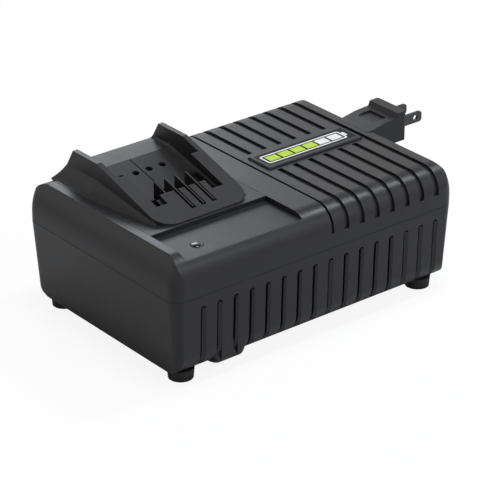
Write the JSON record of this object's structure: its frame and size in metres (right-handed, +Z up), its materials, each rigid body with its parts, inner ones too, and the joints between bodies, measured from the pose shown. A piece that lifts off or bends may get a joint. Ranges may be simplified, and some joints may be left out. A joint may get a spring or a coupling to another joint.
{
  "type": "battery_charger",
  "caption": "Desktop charger for slide-on tool batteries: vented two-shell casing, sloping dock with rails and four terminals, rigid two-blade mains plug, four feet.",
  "frame": {"origin": "under the middle of the whole charger, on the surface it stands on", "axes": "+X from the dock end to the plug end, +Y from the pictured long side to the other, +Z up"},
  "size_m": [0.23, 0.131, 0.0913],
  "materials": {
    "casing": "moulded",
    "cradle": "moulded",
    "carrier": "moulded",
    "contact": "plated",
    "badge": "moulded",
    "inlay": "printed",
    "plug": "moulded",
    "foot": "matt",
    "steel": "zinc",
    "board": "lacquered",
    "ferrite": "sintered",
    "winding": "taped",
    "heatsink": "extruded",
    "component": "moulded",
    "sleeve": "sleeved",
    "tube": "clear",
    "lens": "tinted"
  },
  "bodies": {
    "root": {"lower_housing": "casing", "upper_housing": "casing", "dock_cradle": "cradle", "terminal_block": "carrier", "terminal_negative": "contact", "terminal_signal": "contact", "terminal_thermistor": "contact", "terminal_positive": "contact", "badge_plate": "badge", "badge_inlay": "inlay", "plug_body": "plug", "plug_blade_line": "contact", "plug_blade_neutral": "contact", "foot_front_left": "foot", "foot_front_right": "foot", "foot_back_left": "foot", "foot_back_right": "foot", "housing_screws": "steel", "circuit_board": "board", "board_screws": "steel", "transformer_core": "ferrite", "transformer_winding": "winding", "primary_heatsink": "heatsink", "output_heatsink": "heatsink", "power_transistor": "component", "output_rectifier": "component", "main_capacitor": "sleeve", "output_capacitors": "sleeve", "line_choke": "winding", "line_fuse": "tube", "indicator_lens": "lens"}
  },
  "joints": []
}
